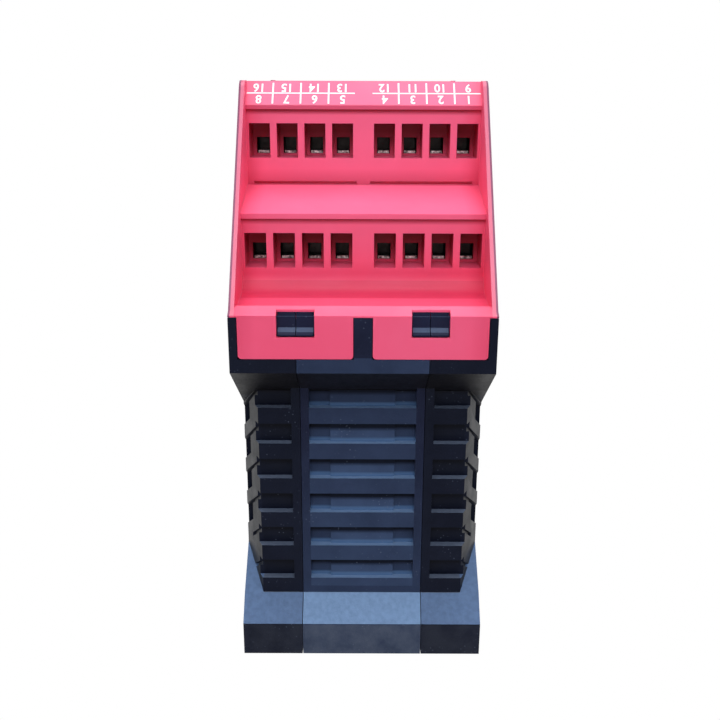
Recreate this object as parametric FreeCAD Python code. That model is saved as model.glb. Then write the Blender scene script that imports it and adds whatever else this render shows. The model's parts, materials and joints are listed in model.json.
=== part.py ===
import FreeCAD, Part
import math
import os

os.makedirs("parts", exist_ok=True)

# Axes: X is the width, Y runs from end to end (near end at -Y), Z from the rail side to the front.
# Profiles are lists of (s, z), where s is the distance from the middle towards an end.

# Overall width and the three housing modules
WIDTH = 45.0
HALF_W = WIDTH / 2
SEAM_X = WIDTH / 4
SEAM_GAP = 0.1
SEAT_GAP = 0.1
EASY_GAP = 0.3

# Main lines: the end faces, and the parting between hood and housing
END_S = 57.0
PARTING_Z = 67.6

# Foot
FOOT_INSET = 4.1
FOOT_S = END_S - FOOT_INSET
FOOT_TOP_Z = 6.5
LEDGE_RISE = 4.6
LEDGE_NECK_Z = FOOT_TOP_Z + LEDGE_RISE
LEDGE_SIDE_RISE = 6.6
LEDGE_SIDE_Z = LEDGE_NECK_Z + LEDGE_SIDE_RISE

# Neck with its tapered flanks
NECK_INSET = 7.9
NECK_S = END_S - NECK_INSET
FLANK_IN = 3.6
NECK_HALF_W = HALF_W - FLANK_IN
FLANK_LENGTH = 8.1
FLANK_S = NECK_S - FLANK_LENGTH
NECK_WALL = 3.3
FLANK_WALL = 2.8
SIDE_WALL = 1.8
FLOOR_Z = 5.4

# Fins and windows on the neck
FIN_PITCH = 6.92
FIN_DROP = 18.8
FIN_TOP_Z = PARTING_Z - FIN_DROP
FIN_COUNT = 1 + int((FIN_TOP_Z - LEDGE_NECK_Z) / FIN_PITCH)
FIN_HEIGHT = 3.09
WINDOW_HEIGHT = FIN_PITCH - FIN_HEIGHT
WINDOW_DEPTH = 1.5
CENTRE_POST = 1.55
CENTRE_WINDOW_HALF = SEAM_X - CENTRE_POST
CENTRE_PAD_INSET = 3.8
CENTRE_PAD_HALF = CENTRE_WINDOW_HALF - CENTRE_PAD_INSET
CENTRE_PAD_STEP = 0.5
SIDE_POST = 1.65
SIDE_WINDOW_X = SEAM_X + SIDE_POST
SLOT_SLOPE = 0.74
SLOT_HEIGHT = 4.2
SLOT_OPEN_INSET = 4.7
SLOT_OPEN_S = NECK_S - SLOT_OPEN_INSET
SLOT_LENGTH = 4.8
SLOT_END_S = SLOT_OPEN_S - SLOT_LENGTH
GROOVE_OVERLAP = 0.5
SLOT_DEPTH = 1.4
GROOVE_HEIGHT = 0.8
GROOVE_DEPTH = 0.5

# Terminal section
END_FACE_HEIGHT = 9.7
END_BOTTOM_Z = PARTING_Z - END_FACE_HEIGHT
RAMP_SLOPE = 0.673
END_WALL = 2.1
TERMINAL_SIDE_WALL = 1.4
RAMP_WALL = 2.2

# Hood, outer line, from the lip up to the ridge
HOOD_WALL = 1.0
HOOD_SKIN = 1.2
LIP_FACE = 0.3
LIP_OUT_Z = PARTING_Z + LIP_FACE
LIP_WIDTH = 2.2
LIP_RISE = 1.2
LIP_IN = (END_S - LIP_WIDTH, LIP_OUT_Z + LIP_RISE)
LIP_DRAFT = 0.1
LIP_DEPTH = 1.1
FLOOR_OUT = (LIP_IN[0] - LIP_DRAFT, LIP_IN[1] - LIP_DEPTH)
FLOOR_LENGTH = 11.5
FLOOR_RISE = 1.4
WALL2_FOOT = (FLOOR_OUT[0] - FLOOR_LENGTH, FLOOR_OUT[1] + FLOOR_RISE)
OVERHANG = 0.7
WALL2_HEIGHT = 13.5
ROOF2_OUT = (WALL2_FOOT[0] + OVERHANG, WALL2_FOOT[1] + WALL2_HEIGHT)
ROOF2_FACE = 0.9
ROOF2_LENGTH = 12.5
ROOF2_RISE = 3.7
WALL1_FOOT = (ROOF2_OUT[0] - ROOF2_LENGTH, ROOF2_OUT[1] + ROOF2_RISE)
WALL1_HEIGHT = 14.2
ROOF1_OUT = (WALL1_FOOT[0] + OVERHANG, WALL1_FOOT[1] + WALL1_HEIGHT)
ROOF1_FACE = 0.7
ROOF1_LENGTH = 3.8
ROOF1_RISE = 4.2
RIDGE = (ROOF1_OUT[0] - ROOF1_LENGTH, ROOF1_OUT[1] + ROOF1_RISE)
RIDGE_DEPTH = 2.6
ROOF_SINK = 0.3
RIM_INSET = 1.1
RIM_FOOT_RISE = 0.6
RIM_LOW = (END_S - RIM_INSET, LIP_OUT_Z + RIM_FOOT_RISE)
RIM_FLAT = 2.9
RIM_RISE = 0.1
RIM_TOP = (RIDGE[0] + RIM_FLAT, RIDGE[1] + RIM_RISE)
RIM_ROUND = 2.6
TROUGH_R = 3.4

# Tongues and latch windows over the end wall
TONGUE_IN_X = 1.65
TONGUE_DROP = 7.2
TONGUE_BOTTOM_Z = PARTING_Z - TONGUE_DROP
TONGUE_THICK = 1.2
TONGUE_ROUND = 0.6
LATCH_IN_X = 8.1
LATCH_OUT_X = 14.5
LATCH_DROP = 3.5
LATCH_BOTTOM_Z = PARTING_Z - LATCH_DROP
LATCH_DEPTH = 1.4
LATCH_STRIP_S = END_S - LATCH_DEPTH
NOSE_GAP = 0.2
NOSE_INSET = 0.3
NOSE_S = END_S - NOSE_INSET
NOSE_HEIGHT = 0.3
TAB_S = LATCH_STRIP_S - SEAT_GAP
TAB_RISE = 0.55
TAB_TOP_Z = PARTING_Z + TAB_RISE

# Pockets, wire holes and clamps
PITCH = 5.08
POCKET_WEB = 1.22
POCKET_WIDTH = PITCH - POCKET_WEB
MIDDLE_HALF_WEB = 1.91
POCKET_SIDE_GAP = 0.45
POCKET_ROOM = HALF_W - HOOD_WALL - POCKET_SIDE_GAP - MIDDLE_HALF_WEB
POCKETS_PER_SIDE = int((POCKET_ROOM + POCKET_WEB) / PITCH)
POCKET_HEIGHT = 6.2
POCKET_DEPTH = 6.4
POCKET_BACK = 0.8
POCKET_RIM = 0.8
BLOCK_DEPTH = POCKET_DEPTH + POCKET_BACK
POCKET_START_1 = 4.8
POCKET_START_2 = 3.8
HOLE_SIDE = 0.68
HOLE_WIDTH = POCKET_WIDTH - 2 * HOLE_SIDE
HOLE_HEIGHT = 3.0
HOLE_RISE = 0.4
BODY_THICK = 4.6
BODY_HALF_W = HALF_W - TERMINAL_SIDE_WALL - EASY_GAP
TUNNEL_DEPTH = 3.6
CLAMP_THICK = 0.45
CLAMP_SIDE_GAP = 0.2
CLAMP_WIDTH = HOLE_WIDTH - 2 * CLAMP_SIDE_GAP
CARRIER_THICK = 1.6
CARRIER_WEB_DROP = 2.0
CARRIER_RISE = 12.0
CARRIER_DEPTH = BLOCK_DEPTH + SEAT_GAP + BODY_THICK

# Label slits at the foot of the upper hole wall
SLIT_IN_X = 1.25
SLIT_END_GAP = 1.2
SLIT_START = 0.05
SLIT_HEIGHT = 0.55
SLIT_DEPTH = 0.9

# Front plate, light guide and front board
PLATE_STEP = 2.0
PLATE_Z = RIDGE[1] - PLATE_STEP
PLATE_THICK = 1.4
PLATE_END_GAP = 0.2
PLATE_HALF_S = RIDGE[0] - PLATE_END_GAP
LENS_X = (-12.0, -4.0, 4.0, 12.0)
LENS_R = 1.5
LENS_PROUD = 0.2
GUIDE_BAR_HALF = (15.0, 2.5)
GUIDE_BAR_THICK = 1.5
FRONT_BOARD_DROP = 7.0
FRONT_BOARD_Z = PLATE_Z - FRONT_BOARD_DROP
LED_SIZE = (3.0, 2.0)
LED_HEIGHT = 1.8

# Side boards and what is soldered to them
BOARD_THICK = 1.6
BOARD_SIDE_GAP = 1.2
BOARD_IN_X = HALF_W - SIDE_WALL - BOARD_SIDE_GAP - BOARD_THICK
BOARD_OUT_X = BOARD_IN_X + BOARD_THICK
BOARD_END_GAP = 0.85
BOARD_SHOULDER_DROP = 5.6
BOARD_SHOULDER_Z = PARTING_Z - BOARD_SHOULDER_DROP
BOARD_CARRIER_GAP = 2.4
BOARD_TOP_HALF_S = WALL1_FOOT[0] - CARRIER_DEPTH - CARRIER_THICK - BOARD_CARRIER_GAP
FRONT_BOARD_INSET = 0.5
FRONT_BOARD_HALF_S = BOARD_TOP_HALF_S - FRONT_BOARD_INSET
LENS_Y = LED_SIZE[1] / 2 - FRONT_BOARD_HALF_S
RIB_IN_S = 10.0
RIB_INSET = 11.0
RIB_S = (RIB_IN_S, FLANK_S - RIB_INSET)
RIB_WIDTH = 2.0
RIB_DROP = 4.0
RELAY_IN_X = 3.9
RELAY_IN_S = 4.0
RELAY_INSET = 5.0
RELAY_S = (RELAY_IN_S, FLANK_S - RELAY_INSET)
RELAY_Z = (12.0, 30.0)
RELAY_ROUND = 0.8
CORE_X = 4.0
CORE_HALF_S = 14.0
CORE_Z = (36.0, 60.0)
WINDING_LESS = 4.0
CORE_LESS = 3.0
CAPACITOR_R = 6.0
CAPACITOR_LENGTH = 20.0
CAPACITOR_S = 26.0
CAPACITOR_Z = 45.0

# Seat for a 35 mm rail, with one fixed hook and one sprung latch
RAIL_HALF = 17.5
RAIL_CLEAR = 0.4
RAIL_SEAT_Z = 3.4
HOOK_Z = 1.9
HOOK_REACH = 1.6
LATCH_HALF_W = 6.0
LATCH_STEM_HALF_W = 4.1
LATCH_CLEAR = 0.2
LATCH_STEP_Z = 1.4
LATCH_TOP_Z = 3.2
LATCH_LOW_Z = 0.3
LATCH_CHAMFER = 1.0
KEY_HALF_W = 2.5
KEY_WIDTH = 1.5
SPRING_FROM_RAIL = 8.5
SPRING_LENGTH = 12.0
SPRING_Y = (RAIL_HALF + SPRING_FROM_RAIL, RAIL_HALF + SPRING_FROM_RAIL + SPRING_LENGTH)
SPRING_SLOT_REST = 4.5
SPRING_SLOT_END = SPRING_Y[1] + SPRING_SLOT_REST
LATCH_TAIL = 6.5
LATCH_END_Y = SPRING_SLOT_END + LATCH_TAIL
SPRING_SLOT_HALF = 1.8
SPRING_STOP_THICK = 1.5
SPRING_R = 1.05
SPRING_WIRE = 0.36
SPRING_PITCH = 1.9


def vec(x, y, z):
    """A point in millimetres."""
    return FreeCAD.Vector(x, y, z)


def box(x0, x1, y0, y1, z0, z1):
    """A box between two corners."""
    return Part.makeBox(x1 - x0, y1 - y0, z1 - z0, vec(x0, y0, z0))


def near_prism(points, x0, x1):
    """A solid with its side profile at the near end, from x0 to x1."""
    wire = Part.makePolygon([vec(x0, -s, z) for s, z in points + points[:1]])
    return Part.Face(wire).extrude(vec(x1 - x0, 0, 0))


def full_prism(points, x0, x1):
    """A solid with a side profile given for one end and mirrored to the other."""
    whole = points + [(-s, z) for s, z in reversed(points)]
    return near_prism(whole, x0, x1)


def plan_prism(points, z0, z1):
    """A solid with an outline in plan, given for one corner, from z0 to z1."""
    quarter = list(points)
    half = quarter + [(x, -y) for x, y in reversed(quarter)]
    whole = half + [(-x, y) for x, y in reversed(half)]
    wire = Part.makePolygon([vec(x, y, z0) for x, y in whole + whole[:1]])
    return Part.Face(wire).extrude(vec(0, 0, z1 - z0))


def both_sides(shape):
    """A shape and its mirror image across the middle of the width."""
    return [shape, shape.mirror(vec(0, 0, 0), vec(1, 0, 0))]


def to_far_end(shape):
    """The same shape at the far end."""
    return shape.mirror(vec(0, 0, 0), vec(0, 1, 0))


def join(shapes):
    """Several shapes as one clean solid."""
    first = shapes[0]
    return first.fuse(shapes[1:]).removeSplitter()


def behind(foot, low, high, front, back, x0, x1):
    """A block at a hole wall: low and high above its foot, front and back behind its face."""
    return box(x0, x1, front - foot[0], back - foot[0], foot[1] + low, foot[1] + high)


def pocket_xs():
    """The middle of every pocket across the width."""
    first = MIDDLE_HALF_WEB + POCKET_WIDTH / 2
    right = [first + PITCH * i for i in range(POCKETS_PER_SIDE)]
    return [-x for x in reversed(right)] + right


def window_floor_z(index):
    """The height of the sill of a window; index 0 is the one under the ramp."""
    return FIN_TOP_Z - FIN_PITCH * index


def flank_x(s, inset):
    """The half-width of the neck's flank at s, moved in by inset."""
    slope = FLANK_IN / (NECK_S - FLANK_S)
    return NECK_HALF_W + (NECK_S - s) * slope - inset * math.hypot(1, slope)


def flank_s(x, inset):
    """The s at which the flank, moved in by inset, has the half-width x."""
    slope = FLANK_IN / (NECK_S - FLANK_S)
    return NECK_S - (x - flank_x(NECK_S, inset)) / slope


def neck_outline(front_inset, flank_inset, side_inset):
    """One corner of the neck in plan, from the front to the side."""
    front = NECK_S - front_inset
    side = HALF_W - side_inset
    return [(flank_x(front, flank_inset), front), (side, flank_s(side, flank_inset))]


def flank_slots():
    """The sloping slots and fine grooves in one flank at the near end."""
    slot_core = plan_prism(neck_outline(0, SLOT_DEPTH, SLOT_DEPTH), 0, PARTING_Z)
    groove_core = plan_prism(neck_outline(0, GROOVE_DEPTH, GROOVE_DEPTH), 0, PARTING_Z)
    cuts = []
    for i in range(FIN_COUNT):
        top = window_floor_z(i) + WINDOW_HEIGHT

        def line(s, drop, top=top):
            return (s, top - (NECK_S - s) * SLOT_SLOPE - drop)

        slot = [line(SLOT_OPEN_S, 0), line(SLOT_OPEN_S, SLOT_HEIGHT),
                line(SLOT_END_S, SLOT_HEIGHT), line(SLOT_END_S, 0)]
        groove = [line(NECK_S + 1, 0), line(NECK_S + 1, GROOVE_HEIGHT),
                  line(SLOT_OPEN_S - GROOVE_OVERLAP, GROOVE_HEIGHT),
                  line(SLOT_OPEN_S - GROOVE_OVERLAP, 0)]
        low = line(SLOT_END_S, SLOT_HEIGHT)[1]
        if low > LEDGE_SIDE_Z:
            cuts.append(near_prism(slot, NECK_HALF_W - 4, HALF_W + 1).cut(slot_core))
        cuts.append(near_prism(groove, NECK_HALF_W - 4, HALF_W + 1).cut(groove_core))
    return cuts


def neck_windows():
    """The blind windows between the fins at the near end."""
    cuts = []
    for i in range(FIN_COUNT):
        z0 = window_floor_z(i)
        z1 = z0 + WINDOW_HEIGHT
        deep = NECK_S - WINDOW_DEPTH
        centre = box(-CENTRE_WINDOW_HALF, CENTRE_WINDOW_HALF, -NECK_S - 1, -deep, z0, z1)
        pad = box(-CENTRE_PAD_HALF, CENTRE_PAD_HALF, -deep - CENTRE_PAD_STEP, -deep, z0, z1)
        cuts.append(centre.cut(pad))
        cuts += both_sides(box(SIDE_WINDOW_X, HALF_W, -NECK_S - 1, -deep, z0, z1))
    return cuts


def ramp_z(s, lift=0.0):
    """The height of the ramp under the terminal section."""
    return END_BOTTOM_Z - (END_S - s) * RAMP_SLOPE + lift


def end_details():
    """Cut for the tongues, and the latch noses with their tabs, at the near end."""
    face = END_S - TONGUE_THICK - SEAT_GAP
    side = HALF_W - TERMINAL_SIDE_WALL
    inner = END_S - END_WALL + 0.05
    low = LATCH_BOTTOM_Z + NOSE_GAP
    recess = box(TONGUE_IN_X - SEAT_GAP, side, -END_S - 1, -face, TONGUE_BOTTOM_Z - SEAT_GAP,
                 PARTING_Z + 1)
    nose = near_prism(
        [(inner, low), (NOSE_S, low), (NOSE_S, low + NOSE_HEIGHT),
         (face, low + NOSE_HEIGHT + NOSE_S - face), (TAB_S, TAB_TOP_Z), (inner, TAB_TOP_Z)],
        LATCH_IN_X + NOSE_GAP, LATCH_OUT_X - NOSE_GAP)
    return both_sides(recess), both_sides(nose)


def rail_cuts():
    """The rail seat, its hook undercut and the groove for the latch."""
    hook_edge = -RAIL_HALF + HOOK_REACH
    far_edge = RAIL_HALF + RAIL_CLEAR
    seat = box(-HALF_W - 1, HALF_W + 1, hook_edge, far_edge, -1, RAIL_SEAT_Z)
    undercut = box(-HALF_W - 1, HALF_W + 1, -far_edge, hook_edge, HOOK_Z, RAIL_SEAT_Z)
    groove_half = LATCH_HALF_W + LATCH_CLEAR
    stem_half = LATCH_STEM_HALF_W + LATCH_CLEAR
    wide = box(-groove_half, groove_half, far_edge - 1, FOOT_S + 1, LATCH_STEP_Z - LATCH_CLEAR,
               RAIL_SEAT_Z)
    mouth = box(-stem_half, stem_half, far_edge - 1, FOOT_S + 1, -1, LATCH_STEP_Z)
    stop = box(-SPRING_SLOT_HALF + LATCH_CLEAR, SPRING_SLOT_HALF - LATCH_CLEAR, SPRING_Y[1],
               SPRING_Y[1] + SPRING_STOP_THICK, LATCH_LOW_Z, RAIL_SEAT_Z)
    return [seat, undercut, join([wide, mouth]).cut(stop)]


def make_neck():
    """The neck with its windows, fins, slots and grooves."""
    neck = plan_prism(neck_outline(0, 0, 0), FOOT_TOP_Z, PARTING_Z - SEAT_GAP)
    cuts = neck_windows()
    for slot in flank_slots():
        cuts += both_sides(slot)
    return neck.cut(cuts + [to_far_end(c) for c in cuts])


def make_housing():
    """The whole dark housing before it is split into its three modules."""
    foot = full_prism([(FOOT_S, 0), (FOOT_S, FOOT_TOP_Z), (NECK_S, LEDGE_NECK_Z),
                       (FLANK_S, LEDGE_SIDE_Z)], -HALF_W, HALF_W)
    inner_s = FLANK_S - 2
    top = full_prism([(inner_s, ramp_z(inner_s)), (END_S, END_BOTTOM_Z),
                      (END_S, PARTING_Z - SEAT_GAP), (PLATE_HALF_S, PARTING_Z - SEAT_GAP),
                      (PLATE_HALF_S, PLATE_Z)], -HALF_W, HALF_W)
    solid = join([foot, make_neck(), top])

    room = plan_prism(neck_outline(NECK_WALL, FLANK_WALL, SIDE_WALL), FLOOR_Z, PARTING_Z + 1)
    side = HALF_W - TERMINAL_SIDE_WALL
    deck_s = END_S - END_WALL
    low_s = FLANK_S - NECK_WALL
    upper = full_prism([(low_s, ramp_z(low_s, RAMP_WALL)), (deck_s, ramp_z(deck_s, RAMP_WALL)),
                        (deck_s, PLATE_Z + 1)], -side, side)
    collar = HALF_W - HOOD_WALL + SEAT_GAP
    front = full_prism([(RIDGE[0], PARTING_Z), (RIDGE[0], PLATE_Z + 1)], -collar, collar)
    recesses, noses = end_details()
    cuts = [room, upper, front] + rail_cuts() + recesses + [to_far_end(r) for r in recesses]
    solid = solid.cut(cuts)

    ribs = []
    for s in RIB_S:
        rib = box(BOARD_OUT_X, HALF_W - SIDE_WALL + 0.5, -s - RIB_WIDTH / 2, -s + RIB_WIDTH / 2,
                  FLOOR_Z - 0.5, BOARD_SHOULDER_Z - RIB_DROP)
        for one in both_sides(rib):
            ribs += [one, to_far_end(one)]
    return join([solid] + noses + [to_far_end(n) for n in noses] + ribs)


def split_housing(solid):
    """The left, centre and right modules of the housing."""
    inner = SEAM_X - SEAM_GAP / 2
    outer = SEAM_X + SEAM_GAP / 2
    reach = END_S + 5
    centre = solid.common(box(-inner, inner, -reach, reach, -5, RIDGE[1]))
    left = solid.common(box(-HALF_W - 5, -outer, -reach, reach, -5, RIDGE[1]))
    right = solid.common(box(outer, HALF_W + 5, -reach, reach, -5, RIDGE[1]))
    return left, centre, right


def trough_blend(half):
    """The concave corner between the trough floor and the lower hole wall."""
    foot = WALL2_FOOT
    slope = (foot[1] - FLOOR_OUT[1]) / (FLOOR_OUT[0] - foot[0])
    tilt = math.atan(slope)
    centre_s = foot[0] + TROUGH_R
    centre_z = foot[1] - TROUGH_R * slope + TROUGH_R / math.cos(tilt)

    def on_arc(angle):
        return vec(-half, -centre_s - TROUGH_R * math.cos(angle),
                   centre_z + TROUGH_R * math.sin(angle))

    wall_end = math.pi
    floor_end = 1.5 * math.pi - tilt
    arc = Part.Arc(on_arc(wall_end), on_arc((wall_end + floor_end) / 2), on_arc(floor_end))
    corner = vec(-half, ROOF_SINK - foot[0], foot[1] - ROOF_SINK)
    sides = Part.makePolygon([on_arc(floor_end), corner, on_arc(wall_end)])
    return Part.Face(Part.Wire([arc.toShape()] + sides.Edges)).extrude(vec(2 * half, 0, 0))


def hood_side():
    """One side wall of the hood with its sloping rim."""
    outline = [(END_S, PARTING_Z), (END_S, LIP_OUT_Z), RIM_LOW, RIM_TOP, (RIDGE[0], RIM_TOP[1]),
               (RIDGE[0], PARTING_Z)]
    wall = near_prism(outline, HALF_W - HOOD_WALL, HALF_W)
    corner = [e for e in wall.Edges if abs(e.BoundBox.YMin + RIM_TOP[0]) < 0.01
              and abs(e.BoundBox.YMax + RIM_TOP[0]) < 0.01
              and abs(e.BoundBox.ZMin - RIM_TOP[1]) < 0.01]
    return wall.makeFillet(RIM_ROUND, corner)


def tongue():
    """One tongue over the end wall."""
    side = HALF_W - TERMINAL_SIDE_WALL - SEAT_GAP
    plate = box(TONGUE_IN_X, side, -END_S, -END_S + TONGUE_THICK, TONGUE_BOTTOM_Z,
                (PARTING_Z + LIP_OUT_Z) / 2)
    corners = [e for e in plate.Edges if abs(e.BoundBox.ZMax - TONGUE_BOTTOM_Z) < 0.01
               and e.BoundBox.YLength > TONGUE_THICK / 2]
    return plate.makeFillet(TONGUE_ROUND, corners)


def hole_wall(foot, roof_out, roof_in, start, half):
    """A hole wall with the row of tubes that its pockets run in."""
    roof_slope = (roof_in[1] - roof_out[1]) / (roof_out[0] - roof_in[0])
    top = roof_out[1] + (roof_out[0] - foot[0]) * roof_slope - ROOF_SINK - foot[1]
    skin = behind(foot, -HOOD_SKIN, top, 0, HOOD_SKIN, -half, half)
    tubes = behind(foot, start - POCKET_RIM, start + POCKET_HEIGHT + POCKET_RIM, 0, BLOCK_DEPTH,
                   -half, half)
    return [skin, tubes]


def hood_cuts():
    """The pockets, wire holes, slits, latch windows and clearances of the near hood."""
    cuts = []
    for foot, start in ((WALL1_FOOT, POCKET_START_1), (WALL2_FOOT, POCKET_START_2)):
        low = start + HOLE_RISE
        for x in pocket_xs():
            cuts.append(behind(foot, start, start + POCKET_HEIGHT, -1, POCKET_DEPTH,
                               x - POCKET_WIDTH / 2, x + POCKET_WIDTH / 2))
            cuts.append(behind(foot, low, low + HOLE_HEIGHT, POCKET_DEPTH - 1, BLOCK_DEPTH + 1,
                               x - HOLE_WIDTH / 2, x + HOLE_WIDTH / 2))
    cuts += both_sides(behind(WALL1_FOOT, SLIT_START, SLIT_START + SLIT_HEIGHT, -1, SLIT_DEPTH,
                              SLIT_IN_X, HALF_W - HOOD_WALL - SLIT_END_GAP))
    face = END_S - TONGUE_THICK - SEAT_GAP
    cuts += both_sides(box(LATCH_IN_X, LATCH_OUT_X, -END_S - 1, -LATCH_STRIP_S, LATCH_BOTTOM_Z,
                           LIP_IN[1] + 1))
    cuts += both_sides(box(LATCH_IN_X, LATCH_OUT_X, -face, -LIP_IN[0], PARTING_Z - SEAT_GAP,
                           TAB_TOP_Z + SEAT_GAP))
    side = HALF_W - TERMINAL_SIDE_WALL - SEAT_GAP
    cuts += both_sides(box(side, HALF_W + 1, -END_S - 1, 0, TONGUE_BOTTOM_Z - 1, PARTING_Z))
    cuts += both_sides(box(HALF_W - HOOD_WALL, HALF_W + 1, -RIDGE[0], 0, PARTING_Z - 1,
                           RIDGE[1] + 1))
    return cuts


def make_hood():
    """The red terminal hood of the near end."""
    def lower(point, drop):
        return (point[0], point[1] - drop)

    half = HALF_W - HOOD_WALL / 2
    lip = near_prism([(END_S, PARTING_Z), (END_S, LIP_OUT_Z), LIP_IN, FLOOR_OUT,
                      (FLOOR_OUT[0], PARTING_Z)], -half, half)
    floor = near_prism([FLOOR_OUT, WALL2_FOOT, lower(WALL2_FOOT, HOOD_SKIN),
                        lower(FLOOR_OUT, HOOD_SKIN)], -half, half)
    low2 = ROOF2_OUT[1] - ROOF2_FACE
    roof2 = near_prism([ROOF2_OUT, WALL1_FOOT, lower(WALL1_FOOT, HOOD_SKIN),
                        (WALL2_FOOT[0], low2), (ROOF2_OUT[0], low2)], -half, half)
    low1 = ROOF1_OUT[1] - ROOF1_FACE
    roof1 = near_prism([ROOF1_OUT, RIDGE, lower(RIDGE, RIDGE_DEPTH),
                        (WALL1_FOOT[0], low1), (ROOF1_OUT[0], low1)], -half, half)
    pieces = [lip, floor, roof2, roof1, trough_blend(half)]
    pieces += hole_wall(WALL2_FOOT, ROOF2_OUT, WALL1_FOOT, POCKET_START_2, half)
    pieces += hole_wall(WALL1_FOOT, ROOF1_OUT, RIDGE, POCKET_START_1, half)
    pieces += both_sides(hood_side()) + both_sides(tongue())
    return join(pieces).cut(hood_cuts())


def make_terminals(foot, start):
    """The plastic body and the row of clamps behind one hole wall."""
    face = BLOCK_DEPTH + SEAT_GAP
    body = behind(foot, start - POCKET_RIM, start + POCKET_HEIGHT + POCKET_RIM, face,
                  face + BODY_THICK, -BODY_HALF_W, BODY_HALF_W)
    low = start + HOLE_RISE
    back = face + TUNNEL_DEPTH
    clamps = []
    tunnels = []
    for x in pocket_xs():
        tunnels.append(behind(foot, low, low + HOLE_HEIGHT, face - 1, back,
                              x - HOLE_WIDTH / 2, x + HOLE_WIDTH / 2))
        x0 = x - CLAMP_WIDTH / 2
        x1 = x + CLAMP_WIDTH / 2
        strip = behind(foot, low, low + CLAMP_THICK, face, back, x0, x1)
        heel = behind(foot, low, low + HOLE_HEIGHT, back - CLAMP_THICK, back, x0, x1)
        clamps.append(join([strip, heel]))
    return body.cut(tunnels), Part.makeCompound(clamps)


def make_carrier():
    """The strip that holds both terminal bodies of an end, standing on the side boards."""
    half = BODY_HALF_W
    leg_y = CARRIER_DEPTH - WALL2_FOOT[0]
    back_y = CARRIER_DEPTH - WALL1_FOOT[0]
    web_top = WALL1_FOOT[1] - CARRIER_WEB_DROP
    web_low = web_top - CARRIER_THICK
    leg = box(-half, half, leg_y, leg_y + CARRIER_THICK, BOARD_SHOULDER_Z, web_top)
    web = box(-half, half, leg_y, back_y + CARRIER_THICK, web_low, web_top)
    back = box(-half, half, back_y, back_y + CARRIER_THICK, web_low, WALL1_FOOT[1] + CARRIER_RISE)
    return join([leg, web, back])


def make_side_board(sign):
    """One of the two boards that stand along the side walls."""
    end_s = flank_s(BOARD_OUT_X, FLANK_WALL) - BOARD_END_GAP
    outline = [(end_s, FLOOR_Z), (end_s, BOARD_SHOULDER_Z), (BOARD_TOP_HALF_S, BOARD_SHOULDER_Z),
               (BOARD_TOP_HALF_S, FRONT_BOARD_Z)]
    board = full_prism(outline, BOARD_IN_X, BOARD_OUT_X)
    return board if sign > 0 else both_sides(board)[1]


def make_relay(sign_x, sign_y):
    """One relay, soldered to the side board that it stands on."""
    relay = box(RELAY_IN_X, BOARD_IN_X, -RELAY_S[1], -RELAY_S[0], *RELAY_Z)
    length = BOARD_IN_X - RELAY_IN_X
    along = [e for e in relay.Edges if e.BoundBox.XLength > length / 2]
    relay = relay.makeFillet(RELAY_ROUND, along)
    if sign_x < 0:
        relay = both_sides(relay)[1]
    return relay if sign_y < 0 else to_far_end(relay)


def make_transformer():
    """The supply transformer: a winding between the plates of its core."""
    core = box(-BOARD_IN_X + WINDING_LESS, CORE_X, -CORE_HALF_S, CORE_HALF_S,
               CORE_Z[0] + CORE_LESS, CORE_Z[1] - CORE_LESS)
    winding = box(-BOARD_IN_X, CORE_X - CORE_LESS, -CORE_HALF_S + WINDING_LESS,
                  CORE_HALF_S - WINDING_LESS, *CORE_Z)
    return join([core, winding])


def make_front():
    """The front plate, its light guide, the front board and its lamps."""
    plate = box(-HALF_W, HALF_W, -PLATE_HALF_S, PLATE_HALF_S, PLATE_Z, PLATE_Z + PLATE_THICK)
    hole_r = LENS_R + SEAT_GAP
    board_top = FRONT_BOARD_Z + BOARD_THICK
    guide_low = board_top + LED_HEIGHT + EASY_GAP
    length = PLATE_Z + PLATE_THICK + LENS_PROUD - guide_low
    bar = box(-GUIDE_BAR_HALF[0], GUIDE_BAR_HALF[0], LENS_Y - GUIDE_BAR_HALF[1],
              LENS_Y + GUIDE_BAR_HALF[1], PLATE_Z - GUIDE_BAR_THICK, PLATE_Z)
    pipes = [bar]
    leds = []
    for x in LENS_X:
        plate = plate.cut(Part.makeCylinder(hole_r, PLATE_THICK + 2, vec(x, LENS_Y, PLATE_Z - 1)))
        pipes.append(Part.makeCylinder(LENS_R, length, vec(x, LENS_Y, guide_low)))
        leds.append(box(x - LED_SIZE[0] / 2, x + LED_SIZE[0] / 2, LENS_Y - LED_SIZE[1] / 2,
                        LENS_Y + LED_SIZE[1] / 2, board_top, board_top + LED_HEIGHT))
    board = box(-BOARD_OUT_X, BOARD_OUT_X, -FRONT_BOARD_HALF_S, FRONT_BOARD_HALF_S,
                FRONT_BOARD_Z, board_top)
    return plate, join(pipes), board, Part.makeCompound(leds)


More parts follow.
